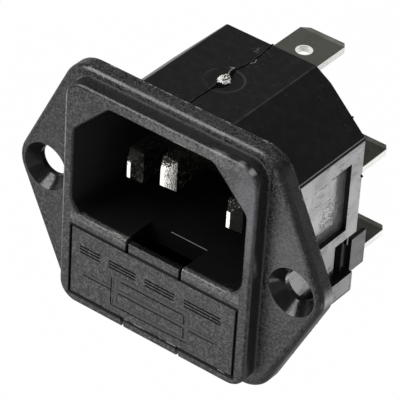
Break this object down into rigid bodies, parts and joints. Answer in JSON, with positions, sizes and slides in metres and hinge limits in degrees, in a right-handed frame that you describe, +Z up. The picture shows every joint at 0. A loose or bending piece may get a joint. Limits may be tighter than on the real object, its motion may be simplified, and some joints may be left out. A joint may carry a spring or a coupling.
{
  "type": "c14 panel inlet socket",
  "caption": "Screw-flange C14 appliance inlet with a raised bezel, flat pins, quick-connect tabs and a pull-out fuse drawer.",
  "frame": {"origin": "midway between the two fixing holes, on the flange's rear face, which lies on the panel", "axes": "-Y out of the socket's front, +Z up towards the earth pin, +X to the right seen from the front"},
  "size_m": [0.0426, 0.0312, 0.0322],
  "materials": {
    "housing_plastic": "fine grain, black",
    "carrier_plastic": "smooth black",
    "drawer_plastic": "fine grain, black",
    "pin_plate": "bright nickel plate",
    "tab_tin": "dull tin plate",
    "clip_bronze": "tinned spring bronze",
    "fuse_glass": "clear",
    "fuse_cap": "nickel plate",
    "fuse_wire": "bright"
  },
  "bodies": {
    "inlet_body": {"terminal_carrier": "carrier_plastic", "housing": "housing_plastic", "line_pin": "pin_plate", "neutral_pin": "pin_plate", "earth_pin": "pin_plate", "earth_tab": "tab_tin", "neutral_tab": "tab_tin", "line_tab": "tab_tin", "line_link": "tab_tin", "fuse_clip_left": "clip_bronze", "fuse_clip_right": "clip_bronze"},
    "drawer": {"fuse_drawer": "drawer_plastic", "fuse_tube": "fuse_glass", "fuse_wire": "fuse_wire", "fuse_cap_left": "fuse_cap", "fuse_cap_right": "fuse_cap", "spare_fuse_tube": "fuse_glass", "spare_fuse_wire": "fuse_wire", "spare_fuse_cap_left": "fuse_cap", "spare_fuse_cap_right": "fuse_cap"}
  },
  "joints": [
    {"name": "drawer_slide", "type": "slide", "parent": "inlet_body", "child": "drawer", "axis": [0, -1, 0], "range_m": [0, 0.018]}
  ]
}
